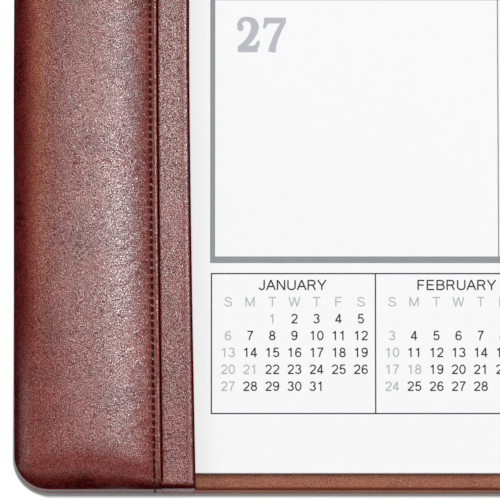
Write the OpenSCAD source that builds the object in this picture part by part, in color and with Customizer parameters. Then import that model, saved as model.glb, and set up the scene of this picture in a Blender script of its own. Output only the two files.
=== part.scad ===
// Leather side-rail desk pad with a set of month sheets held under the rails.
// Millimetres, +X right, +Y to the back, +Z up, origin under the middle of the pad.

/* [Calendar] */
// Width of a month sheet
sheet_w = 558.8; // [400:0.1:700]
// Depth of a month sheet, front to back
sheet_d = 431.8; // [300:0.1:560]
// Thickness of a month sheet
sheet_t = 0.1; // [0.08:0.01:0.2]
// Air between two sheets
sheet_air = 0.02; // [0.01:0.01:0.05]
// Thickness of the card under the sheets
backer_t = 0.6; // [0.4:0.1:1.5]
// How far a sheet can slide to either side from the middle
sheet_travel = 15; // [8:0.5:20]

/* [Pad] */
// Base leather in front of the sheets
front_margin = 4.45; // [2:0.05:15]
// Base leather behind the sheets
back_margin = 1.95; // [1.5:0.05:15]
// Radius of the pad's corners seen from above
corner_r = 9.5; // [9:0.1:14]
// Thickness of the base board
board_t = 4.4; // [3:0.1:8]
// Thickness of all leather
leather_t = 0.8; // [0.6:0.05:1.2]
// Thickness of the felt
felt_t = 1; // [0.8:0.1:3]
// Distance of the felt's edge from the pad's edge
felt_inset = 4; // [2:0.5:10]
// Width of leather turned under the board
turn_in = 14; // [11:0.5:20]

/* [Rail] */
// Width of a rail, outer edge to lip edge
rail_w = 48.3; // [42:0.1:70]
// Width of the flat lip beside the seam
lip_w = 8.8; // [6:0.1:12]
// How far the lip covers the sheet's edge
sheet_cover = 3.85; // [2.5:0.05:6]
// Free height over the sheets in the pocket
pocket_play = 0.36; // [0.2:0.02:1]
// Free space between a sheet at its limit and the spacer
stop_gap = 0.4; // [0.2:0.1:1]
// Thickness of the board in the rail
rail_board_t = 1.4; // [1:0.1:3]
// Distance of the rail's boards from the pad's edge
rail_board_in = 1.8; // [1.7:0.1:3]
// Leather of the lip turned back under the rail board
lip_turn = 7; // [4:0.5:12]
// Leather of the lip that runs on under the fold
lip_lap = 9; // [6:0.5:12]

/* [Bolster] */
// Rise of the crown over the sewn fold
crown_rise = 3.2; // [2:0.1:6]
// Distance of the crown's top from the outer edge
crown_at = 18; // [14:0.5:20]
// Radius of the long outer edge
side_roll = 7.5; // [5:0.1:9]
// Radius of the two ends
end_roll = 8.5; // [5:0.1:8.9]
// Flat width of the sewn fold
fold_w = 3.3; // [3:0.1:4]
// Leather folded under at the seam
fold_turn = 8; // [5:0.5:10]
// Distance of the stitches from the fold's edge
stitch_in = 1.9; // [1.6:0.1:2]
// Pitch of the stitches
stitch_pitch = 2.1; // [1.8:0.1:4]
// Length of one stitch
stitch_len = 1.5; // [1:0.1:1.7]
// Thickness of the thread
thread_d = 0.6; // [0.4:0.1:0.8]

/* [Hidden] */
$fn = 64;
// Clearance between pieces that are laid against each other
fit = 0.1;
// Overshoot of a cut past the face it opens
past = 1;

months = ["january", "february", "march", "april", "may", "june", "july",
          "august", "september", "october", "november", "december"];
rail_pieces = ["rail_spacer", "rail_board", "rail_foam", "bolster_leather", "lip_leather", "seam_stitches"];

// Plan of the pad
pad_w = sheet_w + 2 * (rail_w - sheet_cover);
pad_d = sheet_d + front_margin + back_margin;
sheet_y = (front_margin - back_margin) / 2;

// Heights, from the desk up
turn_z = felt_t;
board_z = turn_z + leather_t;
panel_z = board_z + board_t;
base_z = panel_z + leather_t;
sheets_z = base_z + backer_t;
sheet_pitch = sheet_t + sheet_air;
pocket_h = backer_t + len(months) * sheet_pitch + pocket_play;
lip_z = base_z + pocket_h;
rail_board_z = lip_z + leather_t;
lip_top_layer_z = rail_board_z + rail_board_t;
lip_top = lip_top_layer_z + leather_t;
fold_under_top = lip_top + leather_t;
fold_top = fold_under_top + leather_t;
crown_top = fold_top + crown_rise;

// Places across the rail, from its outer edge
fold_u = rail_w - lip_w;
crease_u = fold_u - fold_w;
stitch_u = fold_u - stitch_in;
lap_u = fold_u - lip_lap;
fold_turn_u = fold_u - fold_turn;
pocket_u = rail_w - sheet_cover - sheet_travel - stop_gap;

// The crown is an arc through its top and the crease; the outer edge is an arc that touches the
// crown from inside and the upright side
crown_half = crease_u - crown_at;
crown_r = (crown_half * crown_half + crown_rise * crown_rise) / (2 * crown_rise);
crown_z = crown_top - crown_r;
roll_z = crown_z + sqrt(pow(crown_r - side_roll, 2) - pow(crown_at - side_roll, 2));
// Place where the two arcs touch, on a surface drawn in by inset
function touch_u(inset) = crown_at - (crown_r - inset) * (crown_at - side_roll) / (crown_r - side_roll);
end_z = crown_top - end_roll;
// Distance of the lip's layer under the fold from the pad's end, where the end's skin rolls over it
lap_end = end_roll - sqrt(pow(end_roll - leather_t, 2) - pow(lip_top - end_z, 2)) + fit;

stitch_run = pad_d - 2 * end_roll;
stitch_count = floor(stitch_run / stitch_pitch);

// Shapes shared by the pieces

// Rounded rectangle with its middle at the origin
module pad_outline(inset) {
    r = corner_r - inset;
    w = pad_w - 2 * inset;
    d = pad_d - 2 * inset;
    square([w - 2 * r, d], center = true);
    square([w, d - 2 * r], center = true);
    for (sx = [-1, 1])
        for (sy = [-1, 1])
            translate([sx * (w / 2 - r), sy * (d / 2 - r)])
                circle(r);
}

// The left part of the pad's outline, from its outer edge to the place reach
module rail_outline(inset, reach) {
    intersection() {
        pad_outline(inset);
        translate([-pad_w / 2, -pad_d / 2])
            square([reach, pad_d]);
    }
}

module plate(z, height) {
    translate([0, 0, z])
        linear_extrude(height)
            children();
}

// Carries a profile drawn across the rail, x from the outer edge and y up, along the rail
module along_rail(length) {
    translate([-pad_w / 2, length / 2, 0])
        rotate([90, 0, 0])
            linear_extrude(length)
                children();
}

// Section across the padding: upright side, rolled edge and crown down to the crease
module crown_section(inset) {
    touch = touch_u(inset);
    translate([inset, turn_z])
        square([touch - inset, roll_z - turn_z]);
    intersection() {
        translate([side_roll, roll_z])
            circle(side_roll - inset, $fn = 128);
        translate([0, roll_z])
            square([touch, side_roll]);
    }
    intersection() {
        translate([crown_at, crown_z])
            circle(crown_r - inset, $fn = 256);
        translate([touch, turn_z])
            square([crease_u - touch, crown_top - turn_z]);
    }
}

// Section of a rolled end, x from the end face inwards
module end_section(inset) {
    translate([inset, turn_z])
        square([corner_r - inset, end_z - turn_z]);
    translate([end_roll, turn_z])
        square([corner_r - end_roll, crown_top - inset - turn_z]);
    intersection() {
        translate([end_roll, end_z])
            circle(end_roll - inset);
        translate([0, end_z])
            square(end_roll);
    }
}

// Upright block over the rail's plan, to the place reach, whose ends and outer corners roll over
module rolled_block(inset, reach) {
    inner_d = pad_d - 2 * corner_r;
    translate([-pad_w / 2 + inset, -inner_d / 2, turn_z])
        cube([reach - inset, inner_d, crown_top - inset - turn_z]);
    for (end = [0, 1])
        mirror([0, end, 0]) {
            translate([-pad_w / 2 + corner_r, -pad_d / 2, 0])
                rotate([90, 0, 90])
                    linear_extrude(reach - corner_r)
                        end_section(inset);
            translate([-pad_w / 2 + corner_r, -pad_d / 2 + corner_r, 0])
                rotate([0, 0, 180])
                    rotate_extrude(angle = 90)
                        translate([corner_r, 0])
                            mirror([1, 0])
                                end_section(inset);
        }
}

// The padding's outer form, drawn in by inset, over the height bottom
module bolster_form(inset, bottom) {
    intersection() {
        along_rail(pad_d)
            intersection() {
                crown_section(inset);
                translate([0, bottom])
                    square([rail_w, crown_top]);
            }
        rolled_block(inset, fold_u);
    }
}

// Box over the rail's plan between two places across it
module rail_bar(u0, u1, z0, z1, end_inset) {
    translate([-pad_w / 2 + u0, -pad_d / 2 + end_inset, z0])
        cube([u1 - u0, pad_d - 2 * end_inset, z1 - z0]);
}

// Pieces of the base

module felt_backing() {
    color("dimgray") {
        plate(0, felt_t)
            pad_outline(felt_inset);
        plate(felt_t, leather_t)
            square([pad_w - 2 * (turn_in + fit), pad_d - 2 * (turn_in + fit)], center = true);
    }
}

module base_board() {
    color("tan")
        plate(board_z, board_t)
            pad_outline(leather_t);
}

// Leather wrapped over an edge, seen from the side: from the height top down and turned under
module wrap_section(top) {
    bend_z = top - leather_t;
    translate([0, turn_z])
        square([turn_in, leather_t]);
    translate([0, turn_z])
        square([leather_t, bend_z - turn_z]);
    intersection() {
        translate([leather_t, bend_z])
            circle(leather_t);
        translate([0, bend_z])
            square(leather_t);
    }
}

module base_leather() {
    span = pad_w - 2 * (rail_w + fit);
    color("sienna") {
        plate(panel_z, leather_t)
            pad_outline(leather_t);
        for (end = [0, 1])
            mirror([0, end, 0])
                translate([-span / 2, -pad_d / 2, 0])
                    rotate([90, 0, 90])
                        linear_extrude(span)
                            wrap_section(base_z);
    }
}

// Pieces of the left rail; the right rail is their mirror image

module rail_spacer() {
    color("tan")
        plate(base_z, rail_board_z - base_z)
            rail_outline(rail_board_in, pocket_u);
}

module rail_board() {
    color("tan")
        plate(rail_board_z, rail_board_t)
            rail_outline(rail_board_in, rail_w - leather_t);
}

module rail_foam() {
    gap = leather_t + fit;
    color("khaki")
        difference() {
            bolster_form(gap, lip_top_layer_z);
            rail_bar(lap_u - fit, rail_w, lip_top_layer_z - past, lip_top + fit, -past);
            rail_bar(fold_turn_u - fit, rail_w, lip_top_layer_z - past, fold_under_top + fit, -past);
        }
}

// Section of the sewn fold with its round edge, and of the end walls under it
module fold_section() {
    translate([crease_u - past, turn_z])
        square([fold_w + past, lip_top - turn_z]);
    translate([crease_u - past, turn_z])
        square([fold_w + past - leather_t, fold_top - turn_z]);
    translate([fold_u - leather_t, fold_under_top])
        circle(leather_t);
}

module bolster_leather() {
    color("rosybrown")
        difference() {
            intersection() {
                along_rail(pad_d) {
                    crown_section(0);
                    fold_section();
                }
                rolled_block(0, fold_u);
            }
            // room for the boards and the padding, round the fold's turned layer
            difference() {
                bolster_form(leather_t, board_z);
                rail_bar(fold_turn_u, rail_w, lip_top, fold_under_top, -past);
            }
            // room under the fold, open towards the pocket
            intersection() {
                rail_bar(fold_turn_u, rail_w, board_z, lip_top, leather_t);
                rolled_block(leather_t, rail_w);
            }
            // the underside between the turn-ins
            rail_bar(turn_in, rail_w, turn_z - past, board_z + past, turn_in);
        }
}

// Section of the lip: over the rail board, round its edge and back under it
module lip_section() {
    edge_u = rail_w - leather_t;
    difference() {
        union() {
            translate([fold_u, lip_top_layer_z])
                square([edge_u - fold_u, leather_t]);
            translate([rail_w - lip_turn, lip_z])
                square([lip_turn - leather_t, leather_t]);
            translate([edge_u, rail_board_z])
                square([leather_t, rail_board_t]);
            for (z = [rail_board_z, lip_top_layer_z])
                translate([edge_u, z])
                    circle(leather_t);
        }
        translate([rail_w - lip_turn - past, rail_board_z])
            square([lip_turn + past - leather_t, rail_board_t]);
    }
}

module lip_leather() {
    color("rosybrown") {
        along_rail(pad_d - 2 * leather_t)
            lip_section();
        rail_bar(lap_u, fold_u + past, lip_top_layer_z, lip_top, lap_end);
        for (end = [0, 1])
            mirror([0, end, 0])
                translate([-pad_w / 2 + fold_u, -pad_d / 2, 0])
                    rotate([90, 0, 90])
                        linear_extrude(lip_w)
                            wrap_section(lip_top);
    }
}

module seam_stitches() {
    color("maroon")
        for (i = [0 : stitch_count - 1])
            translate([-pad_w / 2 + stitch_u, (i - (stitch_count - 1) / 2) * stitch_pitch, fold_top])
                rotate([90, 0, 0])
                    linear_extrude(stitch_len, center = true)
                        intersection() {
                            circle(d = thread_d);
                            translate([-thread_d / 2, 0])
                                square(thread_d);
                        }
}

module rail_piece(name) {
    if (name == "rail_spacer") rail_spacer();
    if (name == "rail_board") rail_board();
    if (name == "rail_foam") rail_foam();
    if (name == "bolster_leather") bolster_leather();
    if (name == "lip_leather") lip_leather();
    if (name == "seam_stitches") seam_stitches();
}

// Pieces of the calendar

module calendar_plate(z, thickness) {
    translate([0, sheet_y, 0])
        plate(z, thickness)
            square([sheet_w, sheet_d], center = true);
}

module calendar_backer() {
    color("burlywood")
        calendar_plate(base_z, backer_t);
}

// Month 0 lies on top
module month_sheet(month) {
    color("white")
        calendar_plate(sheets_z + sheet_air + (len(months) - 1 - month) * sheet_pitch, sheet_t);
}

felt_backing();
base_board();
base_leather();
for (piece = rail_pieces) {
    rail_piece(piece);
    mirror([1, 0, 0]) rail_piece(piece);
}
calendar_backer();
for (month = [0 : len(months) - 1])
    month_sheet(month);
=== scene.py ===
import math

import bpy
import numpy as np
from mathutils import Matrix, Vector


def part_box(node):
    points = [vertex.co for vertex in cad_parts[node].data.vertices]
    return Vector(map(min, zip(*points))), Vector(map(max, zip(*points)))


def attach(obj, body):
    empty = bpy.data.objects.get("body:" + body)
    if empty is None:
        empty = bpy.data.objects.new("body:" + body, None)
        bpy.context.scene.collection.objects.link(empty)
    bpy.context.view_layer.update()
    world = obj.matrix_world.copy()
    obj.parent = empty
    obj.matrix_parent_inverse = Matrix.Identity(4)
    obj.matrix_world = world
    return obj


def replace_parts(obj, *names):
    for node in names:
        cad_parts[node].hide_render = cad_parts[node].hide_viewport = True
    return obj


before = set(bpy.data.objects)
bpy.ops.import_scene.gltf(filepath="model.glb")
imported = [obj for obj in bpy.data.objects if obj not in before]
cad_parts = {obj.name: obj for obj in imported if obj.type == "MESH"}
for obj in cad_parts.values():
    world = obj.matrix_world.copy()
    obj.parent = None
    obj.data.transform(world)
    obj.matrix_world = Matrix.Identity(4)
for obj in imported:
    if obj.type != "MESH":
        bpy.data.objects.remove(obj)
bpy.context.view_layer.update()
scene = bpy.context.scene
scene.view_settings.view_transform = "Standard"
mm = 0.001
monthNames = ["january", "february", "march", "april", "may", "june", "july",
              "august", "september", "october", "november", "december"]

# the pad's plan in millimetres, as the CAD has it
pad = {"halfWidth": 323.85, "halfDepth": 219.1, "cornerR": 9.5, "underside": 1.0}


# mesh helpers

def gridQuads(rows, cols, closed=False):
    # quads of a grid of rows x cols points; closed joins the last column to the first
    j = np.arange(rows - 1)[:, None]
    i = np.arange(cols if closed else cols - 1)[None, :]
    k = (i + 1) % cols
    quads = np.stack([j * cols + i, j * cols + k, (j + 1) * cols + k, (j + 1) * cols + i], axis=-1)
    return quads.reshape(-1, 4)


def joinParts(parts):
    # stacks several point and quad arrays into one pair
    points, quads, start = [], [], 0
    for p, q in parts:
        points.append(p.reshape(-1, 3))
        quads.append(q + start)
        start += len(points[-1])
    return np.concatenate(points), np.concatenate(quads)


def spline(control, count):
    # Catmull-Rom curve through the control points, count points spread evenly over its spans
    c = np.asarray(control, float)
    c = np.vstack([2 * c[0] - c[1], c, 2 * c[-1] - c[-2]])
    t = np.linspace(0, len(c) - 3, count)
    k = np.minimum(t.astype(int), len(c) - 4)
    f = (t - k)[:, None]
    p0, p1, p2, p3 = c[k], c[k + 1], c[k + 2], c[k + 3]
    return 0.5 * (2 * p1 + (p2 - p0) * f + (2 * p0 - 5 * p1 + 4 * p2 - p3) * f ** 2
                  + (3 * p1 - p0 - 3 * p2 + p3) * f ** 3)


def makePiece(name, points, quads, materials, body, flip=False, faceInk=None, marks=None, smooth=True):
    # puts arrays in millimetres into a mesh that rides on a body; flip turns the faces of a mirrored piece,
    # marks are named values at the points
    mesh = bpy.data.meshes.new(name)
    faces = quads[:, ::-1] if flip else quads
    mesh.from_pydata((points.reshape(-1, 3) * mm).tolist(), [], faces.tolist())
    for m in materials:
        mesh.materials.append(m)
    if faceInk is not None:
        mesh.polygons.foreach_set("material_index", faceInk.astype(np.int32))
    for key, values in (marks or {}).items():
        layer = mesh.attributes.new(key, "FLOAT", "POINT")
        layer.data.foreach_set("value", values.astype(np.float32).ravel())
    mesh.polygons.foreach_set("use_smooth", np.full(len(faces), smooth))
    mesh.update()
    piece = bpy.data.objects.new(name, mesh)
    scene.collection.objects.link(piece)
    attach(piece, body)
    return piece


# finishes

def addNode(mat, kind, links=None, **settings):
    # adds a node, sets its properties, and fills its sockets with values or links
    node = mat.node_tree.nodes.new(kind)
    for key, value in settings.items():
        setattr(node, key, value)
    for key, value in (links or {}).items():
        if isinstance(value, bpy.types.NodeSocket):
            mat.node_tree.links.new(value, node.inputs[key])
        else:
            node.inputs[key].default_value = value
    return node


def calc(mat, operation, a, b=0.0, c=0.0, clamp=False):
    # result of one node of maths
    return addNode(mat, "ShaderNodeMath", {0: a, 1: b, 2: c}, operation=operation, use_clamp=clamp).outputs[0]


def mapped(mat, value, low, high, toLow=0.0, toHigh=1.0, smooth=False):
    # value carried from low..high to toLow..toHigh and held within it
    sockets = {"Value": value, "From Min": low, "From Max": high, "To Min": toLow, "To Max": toHigh}
    kind = "SMOOTHSTEP" if smooth else "LINEAR"
    return addNode(mat, "ShaderNodeMapRange", sockets, interpolation_type=kind).outputs["Result"]


def noise(mat, place, scale, detail, roughness=0.5, distortion=0.0):
    # fractal noise around 0.5
    sockets = {"Vector": place, "Scale": scale, "Detail": detail, "Roughness": roughness,
               "Distortion": distortion}
    return addNode(mat, "ShaderNodeTexNoise", sockets).outputs["Fac"]


def turned(mat, place, size, angle, kind="POINT"):
    # place scaled and turned about Z; as a texture, size is the length of one unit
    sockets = {"Vector": place, "Scale": size, "Rotation": (0, 0, angle)}
    return addNode(mat, "ShaderNodeMapping", sockets, vector_type=kind).outputs["Vector"]


def blended(mat, share, first, second, kind="MIX"):
    # second colour laid over the first by a share
    sockets = {"Fac": share, "Color1": first, "Color2": second}
    return addNode(mat, "ShaderNodeMixRGB", sockets, blend_type=kind).outputs["Color"]


def colourRamp(mat, factor, stops):
    # colour ramp with (place, colour) stops
    ramp = addNode(mat, "ShaderNodeValToRGB", {"Fac": factor})
    band = ramp.color_ramp.elements
    while len(band) < len(stops):
        band.new(0.5)
    for e, (place, colour) in zip(band, stops):
        e.position = place
        e.color = (*colour, 1)
    return ramp.outputs["Color"]


def newFinish(name, roughness, specular=0.5):
    # a material and its shader
    mat = bpy.data.materials.new(name)
    mat.use_nodes = True
    shader = mat.node_tree.nodes["Principled BSDF"]
    shader.inputs["Roughness"].default_value = roughness
    shader.inputs["Specular IOR Level"].default_value = specular
    return mat, shader


# the pores' noise at a pit and at a speck
poreRange = (0.43, 0.57)


def leatherFinish(name, look, marked):
    # dyed leather: flat pebbles between narrow valleys from the distance to Voronoi borders, with fine noise
    # for pores and slow noise for creases in the bump; each pebble has a tone, broad noise clouds the dye, and
    # the pores' noise sets dark pits and light specks and how much they shine
    mat, shader = newFinish(name, look["roughness"])
    shader.inputs["IOR"].default_value = look["ior"]
    place = addNode(mat, "ShaderNodeTexCoord").outputs["Object"]
    cells = {"Vector": place, "Scale": 1000 / look["pebble"]}
    border = addNode(mat, "ShaderNodeTexVoronoi", cells, feature="DISTANCE_TO_EDGE").outputs["Distance"]
    pebble = addNode(mat, "ShaderNodeTexVoronoi", cells).outputs["Color"]
    tone = addNode(mat, "ShaderNodeSeparateColor", {"Color": pebble}).outputs
    fine = noise(mat, place, 1000 / look["pore"], 1.0, 0.6)
    broad = noise(mat, place, 1000 / look["cloud"], 4.0, 0.55)
    flat = mapped(mat, border, 0.0, look["valley"], smooth=True)
    grain = calc(mat, "MULTIPLY_ADD", fine, look["poreShare"], flat)
    creases = noise(mat, turned(mat, place, look["creaseScale"], look["creaseTurn"]), 1.0, 3.0, distortion=0.6)
    creaseBump = addNode(mat, "ShaderNodeBump", {"Height": creases, "Strength": 1.0,
                                                 "Distance": look["creaseDepth"] * mm})
    bump = addNode(mat, "ShaderNodeBump", {"Height": grain, "Strength": 1.0,
                                           "Distance": look["grainDepth"] * mm,
                                           "Normal": creaseBump.outputs["Normal"]})
    mat.node_tree.links.new(bump.outputs["Normal"], shader.inputs["Normal"])
    tint = calc(mat, "MULTIPLY_ADD", tone["Red"], look["pebbleTone"], broad)
    tint = calc(mat, "MULTIPLY_ADD", flat, look["valleyTone"], tint)
    # the tint's usual value: noise, pebbles and valleys at their means
    middle = 0.5 + look["pebbleTone"] / 2 + look["valleyTone"] * 0.7
    span = look["toneSpan"]
    colour = colourRamp(mat, tint, [(middle - span, look["deep"]), (middle, look["mid"]),
                                    (min(middle + span, 1), look["bright"])])
    gloss = mapped(mat, fine, *poreRange, *look["glint"])
    # the rails' marks add wear, painted shade and painted light; the base gets painted shade along its edges
    if marked:
        colour, gloss = applyMarks(mat, look, place, tone["Green"], broad, bump, colour, gloss)
    else:
        colour, gloss = burnishEdges(mat, look, place, colour, gloss)
    mat.node_tree.links.new(gloss, shader.inputs["Specular IOR Level"])
    speck = colourRamp(mat, fine, list(zip(poreRange, (look["pit"], look["speck"]))))
    mat.node_tree.links.new(blended(mat, 1.0, colour, speck, "MULTIPLY"), shader.inputs["Base Color"])
    return mat


def applyMarks(mat, look, place, pebble, broad, bump, colour, gloss):
    # what a piece's marks do: one lightens it, for wear and as painted light; one darkens it as painted shade,
    # unevenly by clouds and by pebbles; taut flattens its grain, and matt takes its gloss, or polishes it where
    # it is below 0
    mark = {key: addNode(mat, "ShaderNodeAttribute", attribute_name=key).outputs["Fac"]
            for key in ("wearAndPaintedLight", "paintedShade", "taut", "matt", "creased")}
    colour = blended(mat, mark["wearAndPaintedLight"], colour, (*look["wearAndPaintedLight"], 1))
    patchy = calc(mat, "MULTIPLY", mark["paintedShade"], mapped(mat, broad, *look["cloudRange"], *look["uneven"]))
    patchy = calc(mat, "MULTIPLY", patchy, mapped(mat, pebble, 0.0, 1.0, *look["uneven"]), clamp=True)
    colour = blended(mat, patchy, colour, (*look["paintedShade"], 1))
    keep = calc(mat, "MULTIPLY_ADD", mark["taut"], -look["tautFlat"], 1.0)
    mat.node_tree.links.new(keep, bump.inputs["Strength"])
    gloss = calc(mat, "MULTIPLY", gloss, calc(mat, "SUBTRACT", 1.0, mark["matt"]))
    # dull hairline creases where stretched noise crosses its middle
    slant = turned(mat, place, look["veinSize"], look["veinTurn"], "TEXTURE")
    vein = noise(mat, slant, 1.0, 2.0, distortion=0.7)
    off = calc(mat, "ABSOLUTE", calc(mat, "SUBTRACT", vein, 0.5))
    hair = mapped(mat, off, 0.0, look["veinWidth"], 1.0, 0.0, smooth=True)
    hair = calc(mat, "MULTIPLY", hair, mark["creased"])
    gloss = calc(mat, "MULTIPLY", gloss, calc(mat, "MULTIPLY_ADD", hair, -look["veinDull"], 1.0))
    # streaks pulled across by the stitches, where it is taut
    pull = noise(mat, turned(mat, place, look["pullSize"], 0.0, "TEXTURE"), 1.0, 2.0)
    pull = mapped(mat, pull, *look["pullRange"], -look["pullGloss"], look["pullGloss"])
    gloss = calc(mat, "MULTIPLY", gloss, calc(mat, "MULTIPLY_ADD", pull, mark["taut"], 1.0))
    return colour, gloss


def burnishEdges(mat, look, place, colour, gloss):
    # painted shade, dark and dull, along the front and back edges of the top: nearness to the edge times height
    axes = addNode(mat, "ShaderNodeSeparateXYZ", {0: place}).outputs
    start, full = [(pad["halfDepth"] - d) * mm for d in look["edgeIn"]]
    outer = mapped(mat, calc(mat, "ABSOLUTE", axes["Y"]), start, full, 0.0, look["edgeShare"])
    upper = mapped(mat, axes["Z"], *[z * mm for z in look["edgeUp"]])
    rim = calc(mat, "MULTIPLY", outer, upper)
    dull = calc(mat, "MULTIPLY_ADD", rim, -look["edgeDull"], 1.0)
    return blended(mat, rim, colour, (*look["edge"], 1)), calc(mat, "MULTIPLY", gloss, dull)


def fibreFinish(name, low, high, size, depth, roughness, specular=0.3):
    # matt fibrous stuff such as felt, board or paper: noise of one size in both colour and bump
    mat, shader = newFinish(name, roughness, specular)
    place = addNode(mat, "ShaderNodeTexCoord").outputs["Object"]
    fuzz = noise(mat, place, 1000 / size, 4.0, 0.65)
    mat.node_tree.links.new(colourRamp(mat, fuzz, [(0.3, low), (0.7, high)]), shader.inputs["Base Color"])
    bump = addNode(mat, "ShaderNodeBump", {"Height": fuzz, "Distance": depth * mm})
    mat.node_tree.links.new(bump.outputs["Normal"], shader.inputs["Normal"])
    return mat


# pebble, pore and cloud sizes and depths in millimetres, crease scales per metre, vein and pull sizes in metres
railLook = {"roughness": 0.265, "ior": 1.7, "pebble": 0.62, "valley": 0.24, "pore": 0.215,
            "poreShare": 0.4, "pit": (0.5, 0.37, 0.37), "speck": (1.36, 1.8, 1.74),
            "glint": (0.04, 1.1), "grainDepth": 0.03, "cloud": 11.0,
            "pebbleTone": 0.25, "valleyTone": 0.1, "toneSpan": 0.42,
            "creaseScale": (700, 1100, 700), "creaseTurn": 0.5, "creaseDepth": 0.034,
            "veinSize": (0.0058, 0.0011, 0.0011), "veinTurn": -0.42, "veinWidth": 0.04, "veinDull": 0.85,
            "pullSize": (0.009, 0.0006, 0.0006), "pullRange": (0.35, 0.65), "pullGloss": 0.3, "tautFlat": 0.4,
            "cloudRange": (0.36, 0.64), "uneven": (0.7, 1.25),
            "deep": (0.13, 0.014, 0.012), "mid": (0.216, 0.028, 0.023), "bright": (0.3, 0.05, 0.04),
            # colours of wear and painted light, and of painted shade
            "wearAndPaintedLight": (0.32, 0.07, 0.02), "paintedShade": (0.05, 0.0025, 0.0035)}
baseLook = {"roughness": 0.5, "ior": 1.5, "pebble": 0.5, "valley": 0.2, "pore": 0.24,
            "poreShare": 0.5, "pit": (0.58, 0.58, 0.58), "speck": (1.42, 1.42, 1.42),
            "glint": (0.1, 0.5), "grainDepth": 0.03, "cloud": 14.0,
            "pebbleTone": 0.15, "valleyTone": 0.1, "toneSpan": 0.3,
            "creaseScale": (200, 200, 200), "creaseTurn": 0.0, "creaseDepth": 0.03,
            "deep": (0.23, 0.065, 0.032), "mid": (0.31, 0.097, 0.049), "bright": (0.38, 0.13, 0.067),
            # painted shade along the front and back edges: distances in from the edge, heights, strengths and
            # colour
            "edgeIn": (1.1, 0.45), "edgeUp": (5.7, 6.3), "edgeShare": 0.9, "edgeDull": 0.8,
            "edge": (0.13, 0.02, 0.007)}
railLeather = leatherFinish("railLeather", railLook, True)
baseLeather = leatherFinish("baseLeather", baseLook, False)
threadFinish = fibreFinish("waxedThread", (0.006, 0.002, 0.002), (0.02, 0.006, 0.006), 0.25, 0.04, 0.5, 0.1)
paperFinish = fibreFinish("paper", (0.94, 0.908, 0.904), (0.965, 0.932, 0.928), 0.6, 0.006, 0.85, 0.0)
cardFinish = fibreFinish("greyCard", (0.36, 0.31, 0.25), (0.5, 0.44, 0.36), 0.8, 0.02, 0.9)
boardFinish = fibreFinish("hardboard", (0.3, 0.22, 0.15), (0.46, 0.36, 0.25), 1.2, 0.03, 0.85)
feltFinish = fibreFinish("felt", (0.05, 0.05, 0.055), (0.13, 0.13, 0.14), 0.5, 0.15, 0.95, 0.1)
print("finishes made")


# rails: u runs across a rail from its outer edge, y along it

def bell(v, middle, width, size=1.0):
    # bell curve around the middle
    return size * np.exp(-((v - middle) / width) ** 2)


def slope(v, start, full, size=1.0):
    # 0 at start, rising evenly to size at full, held beyond both
    return size * np.clip((v - start) / (full - start), 0, 1)


def waves(v, each):
    # sum of sines, each with its size, run and start
    return sum(size * np.sin(v / run + start) for size, run, start in each)


def largest(*fields):
    # the largest of several fields at each point
    return np.max(np.broadcast_arrays(*fields), axis=0)


def endDistance(y):
    # distance from the nearer end of the pad
    return pad["halfDepth"] - np.abs(y)


rail = {"flare": 1.95, "waist": 0.3, "flareRun": 125.0, "flarePower": 1.35, "lipEdge": 48.0, "spread": 1.15,
        "bow": 0.35, "bowFrom": 54.0, "bowIn": 12.0}


def flareAt(u, y):
    # the rail is a little wider towards both ends than along its middle: flare grows with a power of the
    # distance into the last flareRun, less the waist, and counts fully at the lip's edge and not at the outer
    # one
    near = np.clip(1 - endDistance(y) / rail["flareRun"], 0, 1) ** rail["flarePower"]
    share = np.clip(u / rail["lipEdge"], 0, 1) ** rail["spread"]
    # the outer edge bows out a little between the ends
    out = np.clip(endDistance(y) / rail["bowFrom"] - 1, -1, 1)
    outer = np.clip(1 - u / rail["bowIn"], 0, 1)
    return (rail["flare"] * near - rail["waist"]) * share - rail["bow"] * out * outer


def railPoints(side, u, y, z):
    # places across and along a rail to points; side is -1 for the left rail and 1 for the right
    u, y, z = np.broadcast_arrays(u, y, z)
    x = side * (pad["halfWidth"] - u - flareAt(u, y))
    return np.stack([x, y, z], axis=-1)


bolster = {"sideRoll": 7.5, "rollZ": 8.48, "crownAt": 18.0, "crownR": 53.36, "crownZ": -36.16, "touch": 5.78,
           "crownTo": 37.0, "endZ": 8.7, "endRise": 8.5, "endRun": 13.0, "endLeast": 0.25, "endPower": 1.3,
           "rollSteps": 15, "rollPower": 1.2, "crownSteps": 30, "foldSteps": 26, "endSteps": 16,
           "runSteps": 490,
           # the sewn valley, the ridge of the fold and its edge down to the lip
           "fold": [(37.0, 13.68), (37.45, 13.46), (37.85, 13.6), (38.2, 13.9), (38.5, 14.05), (38.85, 14.08),
                    (39.12, 13.97), (39.23, 13.72), (39.25, 13.2), (39.14, 12.6), (38.6, 12.2), (37.2, 12.1)],
           # puckers have a place, width and size across the rail
           "stitchU": 37.45, "stitchPitch": 2.1, "pucker": 0.13,
           "puckers": [(37.45, 0.5, 1.0), (36.4, 0.9, 0.15), (38.8, 0.4, 0.1)],
           "sway": 0.12, "swayFull": 340, "swayRuns": (21, 9.3, 6), "swayStart": 0.6, "swayShare": 0.6,
           # wrinkles have turns along and across, a bend and its run, and the run and start of their fading
           "wrinkle": 0.02, "wrinkleAt": (33, 5),
           "wrinkles": [(2.1, 1.3, 1.5, 7, 5.3, 0.4), (1.37, -0.9, 1.2, 11, 8.1, 2)],
           # shares of the wall's drop, then distances in and heights of the leather that turns under
           "wallFoot": 0.6, "drops": [0.25, 0.5, 0.75, 0.95],
           "turnIn": [0.08, 0.3, 0.7, 4.0, 13.9], "turnUp": [0.35, 0.1, 0.0, 0.0, 0.0]}
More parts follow.
